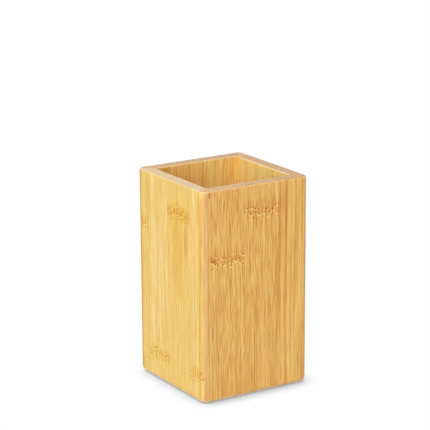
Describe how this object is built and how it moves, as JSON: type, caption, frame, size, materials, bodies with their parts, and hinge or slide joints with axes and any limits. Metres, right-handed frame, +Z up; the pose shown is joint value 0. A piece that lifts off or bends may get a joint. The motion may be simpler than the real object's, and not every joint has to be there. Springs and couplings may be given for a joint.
{
  "type": "toothbrush cup",
  "caption": "Free-standing square bamboo cup for toothbrushes: mitred walls of edge-glued strips, softly rounded edges, open top and a let-in base.",
  "frame": {"origin": "centre of the underside, on the surface that the cup stands on", "axes": "+Z up out of the open mouth, -Y out of the front wall, +X to the right as seen facing the front wall"},
  "size_m": [0.065, 0.065, 0.113],
  "materials": {
    "bamboo_honey": "satin lacquered bamboo, honey tone",
    "bamboo_tan": "satin lacquered bamboo, pinkish tan tone",
    "bamboo_golden": "satin lacquered bamboo, golden tone",
    "bamboo_straw": "satin lacquered bamboo, pale straw tone"
  },
  "bodies": {
    "root": {"front_strip_1": "bamboo_honey", "front_strip_2": "bamboo_honey", "front_strip_3": "bamboo_honey", "front_strip_4": "bamboo_tan", "right_strip_1": "bamboo_honey", "right_strip_2": "bamboo_golden", "right_strip_3": "bamboo_honey", "right_strip_4": "bamboo_tan", "back_strip_1": "bamboo_tan", "back_strip_2": "bamboo_honey", "back_strip_3": "bamboo_tan", "back_strip_4": "bamboo_honey", "left_strip_1": "bamboo_golden", "left_strip_2": "bamboo_straw", "left_strip_3": "bamboo_golden", "left_strip_4": "bamboo_straw", "base_strip_1": "bamboo_tan", "base_strip_2": "bamboo_honey", "base_strip_3": "bamboo_golden"}
  },
  "joints": []
}
